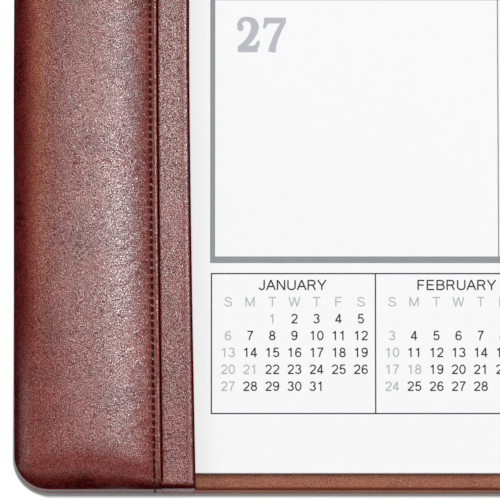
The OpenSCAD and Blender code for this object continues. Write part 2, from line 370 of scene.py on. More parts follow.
# marks of the bolster, each a bell's middle, width and size or a slope's start, full place and size: across the
# rail, or, for the tired ones and names with End as their last word, along it from the nearer end; bridge goes
# by the stitches' phase, and nearDull by the share of the end's roll. The darkening by the seam, on the side,
# at the ends and on the wall is painted shade, and a zone on the shoulder near both ends clears some of it and
# is painted lit
markings = {"seamShade": (37.5, 0.34, 0.95), "bridge": (0.55, 0.95, 0.8), "sideShade": (5.6, 2.0, 0.75),
        # a zone on the shoulder near both ends, glossier, where painted shade is partly cleared and light is
        # painted on
        "heldLitEnd": (15, 18, 0.85), "heldLitSide": (1.5, 2.9), "heldShadeClear": 0.6,
        "endShade": 0.95, "endReach": 1.25, "endFade": 3.6, "endWaves": [(0.5, 4.1, 1), (0.35, 1.7, 0)],
        "seamDull": (29.5, 37), "seamDullPower": 1.5, "seamDullSize": 0.48, "seamDullTo": 38.4,
        "seamDullEnd": (30, 90), "sewnDull": 0.8, "sideDull": (7.9, 3.4), "nearDull": (0.57, 0.17),
        "tiredEnd": (84, 14, 0.36), "tiredMiddle": (75, 120, 0.16),
        "polish": (28.2, 3.4, 0.23), "polishEnd": (62, 38),
        # wear on the shoulder and, near both ends, painted light on it; wear on the fold's ridge follows
        "shoulderWorn": (7.2, 2.4, 0.5), "shoulderEnd": (25, 85), "shoulderPaintedLight": (3.6, 2.4, 0.3),
        "ridgeWorn": (38.1, 0.3, 0.6), "taut": (27, 34),
        # middle along the rail, middle across it and half length of each creased place
        "creases": [(-128, 25, 9), (-46, 22, 11), (38, 27, 9), (131, 24, 10)], "creaseWidth": 11,
        # painted shade on the wall, fading down it, and a painted contact shadow at its foot
        "wall": {"paintedShade": 0.75, "matt": 0.9}, "wallFade": 1.6, "foot": (0.78, 0.95)}


def crownProfile():
    # across the padding: a quarter roll up from the outer side, the crown's arc, then a spline over the fold
    b = bolster
    a = np.linspace(0, 1, b["rollSteps"]) ** b["rollPower"]
    a = a * math.acos(1 - b["touch"] / b["sideRoll"])
    rollU = b["sideRoll"] * (1 - np.cos(a))
    rollZ = b["rollZ"] + b["sideRoll"] * np.sin(a)
    crownU = np.linspace(b["touch"], b["crownTo"], b["crownSteps"] + 1)[1:-1]
    crownZ = b["crownZ"] + np.sqrt(b["crownR"] ** 2 - (crownU - b["crownAt"]) ** 2)
    fold = spline(b["fold"], b["foldSteps"])
    return np.concatenate([rollU, crownU, fold[:, 0]]), np.concatenate([rollZ, crownZ, fold[:, 1]])


def endOfColumn(u):
    # where a column across the rail ends: the straight end, or the rounded corner next to the outer side
    r = pad["cornerR"]
    inCorner = np.clip(r - u, 0, r)
    return pad["halfDepth"] - (r - np.sqrt(r * r - inCorner ** 2))


def endRoll(z):
    # length over which an end rolls up to the height z, shorter where the padding is lower
    b = bolster
    return b["endRun"] * np.clip((z - b["endZ"]) / b["endRise"], b["endLeast"], 1) ** b["endPower"]


def bolsterMarks(u, y, near, phase, onTop, tip):
    # painted shade is the largest of: the sewn valley, but for bridges between stitches, and under the fold;
    # the outer side, cleared in part in a zone on the shoulder near both ends; and the ends, with a wavy edge.
    # matt follows these, and is weaker beside the seam and in the middle, less a polished band. The lightening
    # is a bell of wear on the shoulder and on the fold's ridge, and painted light on the shoulder in the zone
    # near both ends;
    # taut rises towards the seam, and creased is a bell at each creased place
    w = markings
    fromEnd = endDistance(y)
    under = np.where(np.arange(len(u)) > tip - 2, 1.0, 0)
    bridge = slope(phase, *w["bridge"]) * onTop
    sewnShade = np.maximum(bell(u, *w["seamShade"]) * (1 - bridge), under)
    # a zone on the shoulder near both ends: kept glossy, with painted shade partly cleared and painted light
    # laid on
    heldAndLit = bell(fromEnd, *w["heldLitEnd"]) * slope(u, *w["heldLitSide"])
    atEnd = np.clip(w["endReach"] - near * (w["endFade"] + waves(u, w["endWaves"])), 0, 1)
    paintedShade = largest(sewnShade, slope(u, *w["sideShade"]) * (1 - w["heldShadeClear"] * heldAndLit), w["endShade"] * atEnd)
    seamDull = w["seamDullSize"] * slope(u, *w["seamDull"]) ** w["seamDullPower"] * (u < w["seamDullTo"])
    tired = np.maximum(slope(fromEnd, *w["tiredEnd"]), slope(fromEnd, *w["tiredMiddle"]))
    matt = largest(slope(u, *w["sideDull"]) * (1 - heldAndLit), under, slope(near, *w["nearDull"]),
                   seamDull * slope(fromEnd, *w["seamDullEnd"]), w["sewnDull"] * sewnShade, tired)
    matt = matt - bell(u, *w["polish"]) * bell(fromEnd, *w["polishEnd"])
    # lighter by wear on the shoulder and on the fold's ridge, and by painted light in the zone near both ends
    wearAndPaintedLight = largest(bell(u, *w["shoulderWorn"]) * slope(fromEnd, *w["shoulderEnd"]),
                   heldAndLit * bell(u, *w["shoulderPaintedLight"]), bell(u, *w["ridgeWorn"]))
    taut = slope(u, *w["taut"]) + 0 * near
    creased = sum(bell(y, cy, size) * bell(u, cu, w["creaseWidth"]) for cy, cu, size in w["creases"])
    return {"paintedShade": paintedShade, "matt": matt, "wearAndPaintedLight": wearAndPaintedLight, "taut": taut, "creased": creased}


def makeBolster(side, name):
    # height over the plan: the profile across, lowered at both ends by a quarter ellipse from the end's
    # height up to the profile; puckers follow the stitches, slow sines sway the crown and quick ones wrinkle it
    # by the seam; the wall hangs from the rim and turns under
    b = bolster
    u, zAcross = crownProfile()
    end = endOfColumn(u)
    over = b["endRun"] * (1 - np.cos(np.linspace(0, math.pi / 2, b["endSteps"])))
    run = 1 - np.arange(1, b["runSteps"] + 1)[:, None] / b["runSteps"]
    half = np.concatenate([end[None, :] - over[:, None], (end - b["endRun"])[None, :] * run])
    y = np.concatenate([-half, half[-2::-1]])
    near = np.clip((end[None, :] - np.abs(y)) / endRoll(zAcross), 0, 1)
    rise = np.sqrt(1 - (1 - near) ** 2)
    rim = np.minimum(zAcross, b["endZ"])
    z = rim + (zAcross - rim) * rise
    tip = int(np.argmax(u))
    onTop = (np.arange(len(u)) <= tip)[None, :] * rise
    phase = -np.cos(2 * math.pi * y / b["stitchPitch"])
    z = z + onTop * b["pucker"] * phase * sum(bell(u, *each) for each in b["puckers"])
    middle = np.clip(u * (b["crownTo"] - u) / b["swayFull"], 0, 1)
    slow, quick, across = b["swayRuns"]
    z = z + onTop * middle * b["sway"] * (np.sin(y / slow + b["swayStart"])
                                          + b["swayShare"] * np.sin(y / quick + u / across))
    wrinkles = sum(np.sin(turns * y + aside * u + bend * np.sin(y / bendRun)) * np.sin(y / fadeRun + fadeStart)
                   for turns, aside, bend, bendRun, fadeRun, fadeStart in b["wrinkles"])
    z = z + onTop * bell(u, *b["wrinkleAt"]) * b["wrinkle"] * wrinkles
    points = railPoints(side, u, y, z)
    rows, cols = y.shape
    index = np.arange(rows * cols).reshape(rows, cols)

    # the rim, from the front of the fold round the outer side to the back of the fold
    rimIndex = np.concatenate([index[0, tip::-1], index[1:-1, 0], index[-1, :tip + 1]])
    rimU = np.concatenate([u[tip::-1], np.zeros(rows - 2), u[:tip + 1]])
    rimY = y.reshape(-1)[rimIndex]
    rimZ = z.reshape(-1)[rimIndex]
    r = pad["cornerR"]
    inU = np.clip((r - rimU) / r, 0, 1)
    inY = -np.sign(rimY) * np.sqrt(1 - inU ** 2)
    inY = np.where(np.abs(rimY) < pad["halfDepth"] - r, 0, inY)
    low = pad["underside"]
    drop = np.array(b["drops"])[:, None]
    wallZ = rimZ + (low + b["wallFoot"] - rimZ) * drop
    underIn = np.array(b["turnIn"])[:, None]
    underZ = low + np.array(b["turnUp"])[:, None] + 0 * rimZ
    inwards = np.concatenate([0 * drop, underIn])
    skirtU = rimU + inwards * inU
    skirtY = rimY + inwards * inY
    skirtZ = np.concatenate([wallZ, underZ])
    skirt = railPoints(side, skirtU, skirtY, skirtZ).reshape(-1, 3)
    loop = np.vstack([rimIndex, rows * cols + np.arange(len(skirt)).reshape(-1, len(rimIndex))])
    skirtQuads = loop.ravel()[gridQuads(*loop.shape)]
    allPoints = np.concatenate([points.reshape(-1, 3), skirt])
    allQuads = np.concatenate([gridQuads(rows, cols), skirtQuads])

    # the marks fade down the wall; painted shade rises to full at the wall's foot as a painted contact shadow,
    # and is full where it turns under
    fade = np.clip(np.concatenate([1 - markings["wallFade"] * drop, 0 * underIn]), 0, 1) + 0 * rimZ
    marks = {key: np.concatenate([top.ravel(), markings["wall"].get(key, 0.0) * fade.ravel()])
             for key, top in bolsterMarks(u, y, near, phase, onTop, tip).items()}
    foot = np.concatenate([slope(drop, *markings["foot"]), 1 + 0 * underIn]) + 0 * rimZ
    marks["paintedShade"][rows * cols:] = np.maximum(marks["paintedShade"][rows * cols:], foot.ravel())
    piece = makePiece(name, allPoints, allQuads, [railLeather], "desk_pad", side > 0, marks=marks)
    return piece


lip = {"endY": 217.6, "step": 1.2, "edgeSteps": 52, "endSteps": 48,
       "waverAbove": 11, "wavers": [(0.03, 13, 0.7), (0.02, 4.7, 0)],
       # painted shade: by height at the inner edge, across by the seam and on the strip, and along and up at
       # the ends
       "innerEdgeShade": (12.33, 12.13), "seamShade": (39.78, 39.63), "stripShade": (47.8, 48.1),
       "endShade": (217.9, 218.5), "endShadeUp": (8.2, 9.8),
       "edgeCurve": [(37.4, 11.66), (39.0, 11.66), (39.33, 11.7), (39.53, 11.95), (39.65, 12.25),
                     (39.95, 12.38), (41.5, 12.4), (44.0, 12.4), (45.6, 12.4), (46.3, 12.46), (46.8, 12.5),
                     (47.15, 12.47), (47.5, 12.4), (47.7, 12.22), (47.8, 11.9), (47.88, 11.4), (48.06, 10.7),
                     (48.28, 10.2), (48.16, 9.8), (47.6, 9.5), (46.9, 9.42), (44.0, 9.42), (41.3, 9.42)],
       "endPath": [(217.6, 12.4), (218.2, 12.27), (218.7, 11.9), (219.0, 11.2), (219.13, 10.2), (219.18, 8.6),
                   (219.2, 6.5), (219.2, 4.0), (219.2, 1.8), (219.05, 1.3), (218.6, 1.05), (217.0, 1.0),
                   (205.2, 1.0)],
       "strip": [(39.3, 0.0), (42.0, 0.0), (45.0, 0.0), (47.5, 0.0), (48.1, 0.15), (48.3, 0.4), (48.1, 0.65),
                 (47.5, 0.8), (42.0, 0.8), (39.3, 0.8)]}


def makeLip(side, name):
    # a spline section round the lip's board carried along the rail, and at each end a strip of leather
    # carried down over the pocket and under the base; painted shade along its edges and over the top of each
    # end
    edge = spline(lip["edgeCurve"], lip["edgeSteps"])
    count = int(2 * lip["endY"] / lip["step"])
    y = np.linspace(-lip["endY"], lip["endY"], count)[:, None]
    waver = waves(y, lip["wavers"])
    top = railPoints(side, edge[:, 0], y, edge[:, 1] + waver * (edge[:, 1] > lip["waverAbove"]))
    topShade = slope(edge[:, 1], *lip["innerEdgeShade"]) + slope(edge[:, 0], *lip["seamShade"])
    parts = [(top, gridQuads(*top.shape[:2]))]
    marks = [np.broadcast_to(np.clip(topShade, 0, 1), top.shape[:2]).ravel()]
    path = spline(lip["endPath"], lip["endSteps"])
    along = np.gradient(path, axis=0)
    along = along / np.linalg.norm(along, axis=1)[:, None]
    inward = np.stack([along[:, 1], -along[:, 0]], axis=1)
    strip = np.array(lip["strip"])
    stripShade = slope(strip[:, 0], *lip["stripShade"])
    dark = slope(path[:, 0], *lip["endShade"]) * slope(path[:, 1], *lip["endShadeUp"])
    bent = path[:, None, :] + inward[:, None, :] * strip[None, :, 1:]
    quads = gridQuads(len(path), len(strip), closed=True)
    for end in (-1, 1):
        wall = railPoints(side, strip[None, :, 0], end * bent[..., 0], bent[..., 1])
        parts.append((wall, quads if end > 0 else quads[:, ::-1]))
        marks.append(np.maximum(stripShade[None, :], dark[:, None]).ravel())
    points, quads = joinParts(parts)
    paintedShade = np.concatenate(marks)
    tired = slope(endDistance(points[:, 1]), *markings["tiredEnd"])
    piece = makePiece(name, points, quads, [railLeather], "desk_pad", side > 0,
                      marks={"paintedShade": paintedShade, "matt": np.maximum(paintedShade, tired)})
    return piece


stitch = {"half": 1.0, "radius": 0.27, "dip": 0.34, "lift": 0.1, "slant": 0.1, "lowest": 2.2, "blunt": 1.02,
          "probe": 0.3, "rollSteps": 40, "rings": 7, "sides": 7}


def makeStitches(side, name):
    # capsules of thread set at even arc length along the seam, over both ends and down their faces:
    # each one bows up in its middle, dives at both ends and leans a little across the seam
    b, s = bolster, stitch
    valley, pitch = b["fold"][1][1], b["stitchPitch"]
    roll = endRoll(valley)
    over = roll * (1 - np.cos(np.linspace(0, math.pi / 2, s["rollSteps"])))
    rise = np.sqrt(1 - (1 - over / roll) ** 2)
    halfY = np.concatenate([[pad["halfDepth"]] * 2, pad["halfDepth"] - over[1:], [0.0]])
    halfZ = np.concatenate([[s["lowest"], b["endZ"]], b["endZ"] + (valley - b["endZ"]) * rise[1:], [valley]])
    pathY = np.concatenate([-halfY, halfY[-2::-1]])
    pathZ = np.concatenate([halfZ, halfZ[-2::-1]])
    run = np.concatenate([[0], np.cumsum(np.hypot(np.diff(pathY), np.diff(pathZ)))])
    number = int((run[-1] / 2 - s["half"]) / pitch)
    at = run[-1] / 2 + pitch * np.arange(-number, number + 1)
    before, after = at - s["probe"], at + s["probe"]
    fore = np.interp(after, run, pathY) - np.interp(before, run, pathY)
    climb = np.interp(after, run, pathZ) - np.interp(before, run, pathZ)
    size = np.hypot(fore, climb)
    fore, climb = (fore / size)[:, None, None], (climb / size)[:, None, None]
    t = np.linspace(-1, 1, s["rings"])[None, :, None]
    turn = np.linspace(0, 2 * math.pi, s["sides"], endpoint=False)[None, None, :]
    thick = s["radius"] * np.sqrt(s["blunt"] - t ** 2)
    up = s["lift"] - s["dip"] * t ** 4 + thick * np.sin(turn)
    across = s["slant"] * t + thick * np.cos(turn)
    y = np.interp(at, run, pathY)[:, None, None] + s["half"] * t * fore - up * climb
    z = np.interp(at, run, pathZ)[:, None, None] + s["half"] * t * climb + up * fore
    points = railPoints(side, b["stitchU"] + across, y, z)
    one = gridQuads(s["rings"], s["sides"], closed=True)
    quads = (one[None] + (np.arange(len(at)) * s["rings"] * s["sides"])[:, None, None]).reshape(-1, 4)
    piece = makePiece(name, points, quads, [threadFinish], "desk_pad", side < 0)
    return piece


for side, word in ((-1, "left"), (1, "right")):
    cushion = makeBolster(side, word + "_bolster")
    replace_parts(cushion, word + "_bolster_leather", word + "_rail_foam")
    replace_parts(makeLip(side, word + "_lip"), word + "_lip_leather")
    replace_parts(makeStitches(side, word + "_stitches"), word + "_seam_stitches")
print("rails made")


# finishes of the CAD nodes that stay

nodeFinish = {"felt_backing": feltFinish, "base_board": boardFinish, "base_leather": baseLeather,
              "calendar_backer": cardFinish}
for word in ("left", "right"):
    nodeFinish[word + "_rail_spacer"] = boardFinish
    nodeFinish[word + "_rail_board"] = boardFinish
for month in monthNames:
    nodeFinish[month + "_sheet"] = paperFinish
for node, finish in nodeFinish.items():
    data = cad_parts[node].data
    data.materials.clear()
    data.materials.append(finish)
print("nodes finished:", len(nodeFinish))


# print on the sheets: flat ink, drawn as strokes

def arc(cx, cy, rx, ry, start, stop, count=14):
    # piece of an ellipse, angles in degrees
    a = np.radians(np.linspace(start, stop, count))
    return np.stack([cx + rx * np.cos(a), cy + ry * np.sin(a)], axis=1)


def line(*xy):
    # straight stroke through points given as x, y, x, y
    return np.array(xy, float).reshape(-1, 2)


def ribbon(points, halfWidth):
    # band of quads on both sides of a stroke, at right angles to its run
    along = np.gradient(points, axis=0)
    along = along / np.linalg.norm(along, axis=1)[:, None]
    out = np.stack([-along[:, 1], along[:, 0]], axis=1) * np.reshape(halfWidth, (-1, 1))
    left, right = points + out, points - out
    return np.stack([right[:-1], right[1:], left[1:], left[:-1]], axis=1)


inkStep = 0.002


def stacked(strokes):
    # lays each stroke a hair over the one before it and every other quad of a stroke over its neighbours
    out = []
    for k, quads in enumerate(strokes):
        level = inkStep * (k + 0.5 * (np.arange(len(quads)) % 2))
        out.append(np.concatenate([quads, np.broadcast_to(level[:, None, None], (len(quads), 4, 1))], axis=2))
    return np.concatenate(out)


def placed(quads, size, x, y):
    # quads scaled in plan, then moved
    return quads * np.array([size, size, 1.0]) + np.array([x, y, 0.0])


# thin upright letters and figures, cap height 1: strokes and advance
stem = line(.12, 0, .12, 1)
thinStrokes = {
    "0": ([arc(.385, .5, .275, .445, 0, 360, 20)], .79),
    "1": ([line(.43, 0, .43, 1), spline([(.16, .77), (.33, .81), (.43, .97)], 5)], .79),
    "2": ([arc(.385, .69, .27, .255, 172, -38), line(.598, .533, .12, .07), line(.09, .055, .69, .055)], .79),
    "3": ([arc(.37, .73, .24, .215, 165, -85), arc(.37, .285, .275, .23, 85, -165)], .79),
    "4": ([line(.5, 0, .5, 1), line(.49, .96, .08, .29), line(.04, .265, .7, .265)], .79),
    "5": ([line(.18, .945, .64, .945), line(.22, .97, .15, .45), arc(.38, .33, .27, .275, 142, -160)], .79),
    "6": ([arc(.39, .31, .265, .255, 0, 360, 18),
           spline([(.63, .78), (.53, .91), (.39, .945), (.22, .83), (.13, .57), (.125, .31)], 11)], .79),
    "7": ([line(.09, .945, .69, .945), spline([(.66, .93), (.45, .6), (.34, .3), (.29, 0)], 7)], .79),
    "8": ([arc(.385, .735, .225, .21, 0, 360, 16), arc(.385, .285, .27, .235, 0, 360, 18)], .79),
    "A": ([line(.02, 0, .44, 1), line(.86, 0, .44, 1), line(.18, .35, .7, .35)], .9),
    "B": ([stem, line(.12, .95, .5, .95), arc(.5, .735, .24, .215, 90, -90),
           line(.12, .52, .52, .52), arc(.52, .285, .28, .235, 90, -90), line(.12, .05, .52, .05)], .92),
    "C": ([arc(.52, .5, .44, .45, 42, 318, 18)], 1.0),
    "D": ([stem, line(.12, .95, .42, .95), arc(.42, .5, .42, .45, 90, -90),
           line(.12, .05, .42, .05)], 1.0),
    "E": ([stem, line(.12, .95, .76, .95), line(.12, .52, .72, .52),
           line(.12, .05, .78, .05)], .9),
    "F": ([stem, line(.12, .95, .74, .95), line(.12, .5, .66, .5)], .84),
    "G": ([arc(.53, .5, .45, .45, 42, 330, 18), line(.56, .46, .95, .46), line(.94, .46, .94, .02)], 1.06),
    "H": ([stem, line(.84, 0, .84, 1), line(.12, .53, .84, .53)], .98),
    "I": ([line(.16, 0, .16, 1)], .36),
    "J": ([line(.54, 1, .54, .27), arc(.3, .27, .24, .22, 0, -175)], .7),
    "L": ([stem, line(.12, .05, .68, .05)], .76),
    "M": ([stem, line(.12, 1, .54, .04), line(.96, 1, .54, .04), line(.96, 0, .96, 1)], 1.12),
    "N": ([stem, line(.12, 1, .82, 0), line(.82, 0, .82, 1)], .97),
    "O": ([arc(.54, .5, .46, .45, 0, 360, 20)], 1.08),
    "P": ([stem, line(.12, .95, .5, .95), arc(.5, .71, .26, .24, 90, -90),
           line(.12, .47, .5, .47)], .9),
    "R": ([stem, line(.12, .95, .52, .95), arc(.52, .72, .26, .23, 90, -90),
           line(.12, .49, .52, .49), line(.56, .5, .82, 0)], .97),
    "S": ([spline([(.78, .74), (.68, .9), (.46, .95), (.22, .89), (.16, .72), (.3, .58), (.54, .5), (.78, .38),
                   (.8, .18), (.66, .07), (.44, .05), (.2, .11), (.1, .29)], 22)], .9),
    "T": ([line(.43, 0, .43, 1), line(.03, .95, .83, .95)], .86),
    "U": ([line(.12, 1, .12, .33), arc(.47, .33, .35, .28, 180, 360), line(.82, .33, .82, 1)], .96),
    "V": ([line(.03, 1, .44, 0), line(.85, 1, .44, 0)], .88),
    "W": ([line(.03, 1, .31, 0), line(.59, 1, .31, 0), line(.59, 1, .87, 0), line(1.15, 1, .87, 0)], 1.2),
    "Y": ([line(.03, 1, .43, .42), line(.83, 1, .43, .42), line(.43, .45, .43, 0)], .86),
}
thinStrokes["9"] = ([np.array([.77, 1.0]) - s for s in thinStrokes["6"][0]], .79)


def heavy(control, count):
    # stroke whose half width swells: each control point is x, y, half width
    c = spline(control, count)
    return c[:, :2], c[:, 2]


def ring(cx, cy, outX, outY, inX, inY):
    # closed bowl between two ellipses
    out, inner = arc(cx, cy, outX, outY, 0, 360, 33), arc(cx, cy, inX, inY, 0, 360, 33)
    return np.stack([out[:-1], out[1:], inner[1:], inner[:-1]], axis=1)


def ball(cx, cy, r):
    # round end of a stroke
    return ring(cx, cy, r, r, 0.001, 0.001)


lowerBowl = [heavy([(.26, .55, .04), (.42, .54, .075), (.51, .4, .105), (.51, .24, .105), (.42, .1, .075),
                    (.28, .055, .05), (.15, .11, .055), (.1, .22, .06)], 26)]
# bold figures with serifs, height 1: swelling strokes, and bowls and balls
boldStrokes = {
    "0": ([], [ring(.31, .5, .31, .5, .12, .43)]),
    "1": ([heavy([(.32, 0, .105), (.32, .97, .105)], 2),
           heavy([(.34, .96, .04), (.2, .86, .05), (.06, .81, .04)], 8),
           heavy([(.06, .05, .05), (.58, .05, .05)], 2)], []),
    "2": ([heavy([(.1, .7, .085), (.075, .79, .066), (.14, .905, .062), (.295, .935, .063), (.44, .86, .095),
                  (.495, .71, .108), (.445, .52, .098), (.315, .32, .085), (.16, .175, .075),
                  (.06, .1, .07)], 34),
           heavy([(.02, .092, .092), (.57, .092, .092)], 2),
           heavy([(.5, .12, .075), (.56, .2, .055), (.6, .32, .036)], 6)], [ball(.096, .678, .087)]),
    "3": ([heavy([(.1, .78, .06), (.15, .9, .055), (.29, .945, .05), (.43, .88, .08), (.48, .76, .095),
                  (.42, .62, .07), (.26, .55, .04)], 22)] + lowerBowl,
          [ball(.1, .75, .082), ball(.1, .24, .085)]),
    "4": ([heavy([(.42, .95, .05), (.04, .29, .05)], 2), heavy([(0, .265, .06), (.64, .265, .06)], 2),
           heavy([(.43, 0, .1), (.43, 1, .1)], 2), heavy([(.25, .045, .045), (.61, .045, .045)], 2)], []),
    "5": ([heavy([(.09, .905, .075), (.56, .905, .075)], 2), heavy([(.125, .95, .04), (.11, .5, .03)], 2),
           heavy([(.11, .53, .03), (.2, .6, .045)], 2),
           heavy([(.16, .585, .04), (.3, .62, .05), (.44, .54, .085)], 8),
           heavy([(.42, .56, .08), (.51, .4, .105), (.51, .24, .105), (.42, .1, .075), (.28, .055, .05),
                  (.15, .11, .055), (.1, .22, .06)], 22)], [ball(.1, .24, .085)]),
    "6": ([heavy([(.52, .84, .05), (.44, .93, .05), (.3, .93, .055), (.15, .75, .09), (.11, .5, .105),
                  (.12, .27, .105)], 22)], [ring(.32, .3, .3, .3, .11, .24), ball(.5, .81, .075)]),
    "7": ([heavy([(.03, .892, .081), (.635, .892, .081)], 2),
           heavy([(.1, .86, .07), (.06, .76, .045), (.036, .67, .036)], 6),
           heavy([(.575, .85, .062), (.46, .64, .07), (.36, .42, .076), (.285, .2, .088),
                  (.246, 0, .106)], 18)], []),
    "8": ([], [ring(.31, .745, .255, .255, .11, .195), ring(.31, .275, .305, .285, .13, .21)]),
}


def drawThin(letter, half):
    # quads of a thin letter or figure
    return stacked([ribbon(s, half) for s in thinStrokes[letter][0]])


def drawBold(figure):
    # quads of a bold figure; the nine is the six turned round
    if figure == "9":
        return drawBold("6") * np.array([-1, -1, 1]) + np.array([.62, 1.0, 0])
    strokes, bowls = boldStrokes[figure]
    return stacked([ribbon(p, w) for p, w in strokes] + bowls)


def setWord(word, cap, x, y, half=0.072, gap=0.0):
    # a word of thin letters, its middle at x and the middle of its caps at y
    width = sum(thinStrokes[c][1] + gap for c in word)
    pen, quads = -width / 2, []
    for c in word:
        quads.append(placed(drawThin(c, half), 1, pen, -0.5))
        pen += thinStrokes[c][1] + gap
    return placed(np.concatenate(quads), cap, x, y)


boldAdvance = 0.714


def setFigures(number, cap, x, top):
    # a bold number from its left edge and its top
    quads = [placed(drawBold(c), 1, k * boldAdvance, -1.0) for k, c in enumerate(str(number))]
    return placed(np.concatenate(quads), cap, x, top)


def bar(x0, y0, x1, y1, level=0):
    # one quad, some steps of ink up
    z = level * inkStep
    return np.array([[(x0, y0, z), (x1, y0, z), (x1, y1, z), (x0, y1, z)]], float)


def frameBars(x0, y0, x1, y1, wide, tall):
    # outline of a box as four bars: upright ones of one width, level ones of another between them
    return np.concatenate([bar(x0, y0, x0 + wide, y1), bar(x1 - wide, y0, x1, y1),
                           bar(x0 + wide, y0, x1 - wide, y0 + tall), bar(x0 + wide, y1 - tall, x1 - wide, y1)])


year = {"firstDay": [2, 5, 5, 1, 3, 6, 1, 4, 0, 2, 5, 0],
        "days": [31, 28, 31, 30, 31, 30, 31, 31, 30, 31, 30, 31],
        "pale": [{1, 21}, {18}, set(), set(), {27}, set(), {4}, set(), {2}, set(), {28}, {25}]}
sheetPrint = {"left": -270.05, "width": 540.1, "bottom": -156.5, "rowPitch": 72.9, "rows": 5,
              "firstColumn": 79.2, "frameWide": 1.37, "frameTall": 1.85, "hair": 0.35, "weekUp": 0.9,
              "numberIn": 7.35, "numberDown": 3.9, "numberCap": 10.0,
              "titleY": 213.6, "titleCap": 4.2, "titleGap": 0.12, "dayY": 209.7, "dayCap": 2.1, "dayGap": 0.1}
strip = {"left": -269.85, "pitch": 44.96, "top": -159.25, "bottom": -198.45, "rule": 0.36, "headY": -162.6,
         "weekY": -167.25, "firstY": -171.95, "step": 4.685, "firstX": 4.75, "columnStep": 6.065, "cap": 2.62,
         "headCap": 2.8, "headGap": 0.06, "weekHalf": 0.066}
dayNames = ["SUNDAY", "MONDAY", "TUESDAY", "WEDNESDAY", "THURSDAY", "FRIDAY", "SATURDAY"]
blackInk = fibreFinish("blackInk", (0.008, 0.008, 0.007), (0.016, 0.015, 0.014), 0.3, 0.002, 0.6)
paleInk = fibreFinish("paleInk", (0.44, 0.44, 0.44), (0.5, 0.5, 0.5), 0.3, 0.002, 0.7)
greyInk = fibreFinish("greyInk", (0.285, 0.282, 0.305), (0.31, 0.307, 0.33), 0.4, 0.002, 0.7)
silverInk = fibreFinish("silverInk", (0.47, 0.47, 0.5), (0.51, 0.51, 0.54), 0.4, 0.002, 0.7)


def yearStrip():
    # twelve small months side by side: rule, name, weekday letters and dates
    black, pale = [], []
    s = strip
    right = s["left"] + 12 * s["pitch"] + s["rule"]
    black.append(frameBars(s["left"], s["bottom"], right, s["top"], s["rule"], s["rule"]))
    for k, name in enumerate(monthNames):
        x0 = s["left"] + k * s["pitch"]
        if k > 0:
            black.append(bar(x0, s["bottom"], x0 + s["rule"], s["top"], 1))
        black.append(setWord(name.upper(), s["headCap"], x0 + s["pitch"] / 2, s["headY"], gap=s["headGap"]))
        for d in range(7):
            x = x0 + s["firstX"] + d * s["columnStep"]
            pale.append(setWord(dayNames[d][0], s["cap"], x, s["weekY"], s["weekHalf"]))
        for day in range(1, year["days"][k] + 1):
            week, column = divmod(year["firstDay"][k] + day - 1, 7)
            ink = pale if column == 0 or day in year["pale"][k] else black
            ink.append(setWord(str(day), s["cap"], x0 + s["firstX"] + column * s["columnStep"],
                               s["firstY"] - week * s["step"]))
    return np.concatenate(black), np.concatenate(pale)


def monthGrid(k):
    # the month's frame with its day columns and weeks, and a bold number in each day
    p = sheetPrint
    top = p["bottom"] + p["rows"] * p["rowPitch"]
    right = p["left"] + p["width"]
    column = (p["width"] - p["firstColumn"]) / 6
    columns = p["left"] + np.concatenate([[0], p["firstColumn"] + column * np.arange(7)])
    grey = [frameBars(p["left"], p["bottom"], right, top, p["frameWide"], p["frameTall"])]
    for x in columns[1:7]:
        grey.append(bar(x - p["hair"] / 2, p["bottom"], x + p["hair"] / 2, top, 1))
    for w in range(1, p["rows"]):
        y = p["bottom"] + w * p["rowPitch"] + p["weekUp"]
        grey.append(bar(p["left"], y - p["hair"] / 2, right, y + p["hair"] / 2, 2))
    silver = []
    for day in range(1, year["days"][k] + 1):
        week, d = divmod(year["firstDay"][k] + day - 1, 7)
        down = p["numberDown"] + (p["rowPitch"] / 2 if week == p["rows"] else 0)
        y = top - min(week, p["rows"] - 1) * p["rowPitch"] - down
        silver.append(setFigures(day, p["numberCap"], columns[d] + p["numberIn"], y))
    black = [setWord(monthNames[k].upper(), p["titleCap"], 0, p["titleY"], gap=p["titleGap"])]
    for d, name in enumerate(dayNames):
        x = (columns[d] + columns[d + 1]) / 2
        black.append(setWord(name, p["dayCap"], x, p["dayY"], gap=p["dayGap"]))
    return np.concatenate(grey), np.concatenate(silver), np.concatenate(black)


stripBlack, stripPale = yearStrip()
inkLift = 0.006
for k, month in enumerate(monthNames):
    grey, silver, black = monthGrid(k)
    layers = [np.concatenate([stripBlack, black]), stripPale, grey, silver]
    corners = np.concatenate(layers).reshape(-1, 3)
    ink = np.concatenate([np.full(len(q), n) for n, q in enumerate(layers)])
    corners = corners + np.array([0, 0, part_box(month + "_sheet")[1].z / mm + inkLift])
    quads = np.arange(len(corners)).reshape(-1, 4)
    # every quad is turned to face up
    a, b, c = corners[quads[:, 0]], corners[quads[:, 1]], corners[quads[:, 2]]
    down = np.cross(b - a, c - b)[:, 2] < 0
    quads[down] = quads[down][:, ::-1]
    makePiece(month + "_print", corners, quads, [blackInk, paleInk, greyInk, silverInk], month,
              faceInk=ink, smooth=False)
print("print made, quads on one sheet:", len(quads))


# floor, light and camera

floorLook = {"half": 60.0, "grey": 0.7, "roughness": 0.9,
             # lift by the distance from the pad in metres, and how many times as soon it comes beside the pad
             "close": (0.0005, 0.0014), "closeLift": 0.75, "beside": 3.0,
             # lift by the distance from the pad's middle, and its share for glossy rays
             "far": (0.5, 2.6), "farLift": 0.5, "glossy": 0.55}


def vectorCalc(mat, operation, a, b=(0, 0, 0)):
    # results of one node of vector maths
    return addNode(mat, "ShaderNodeVectorMath", {0: a, 1: b}, operation=operation).outputs


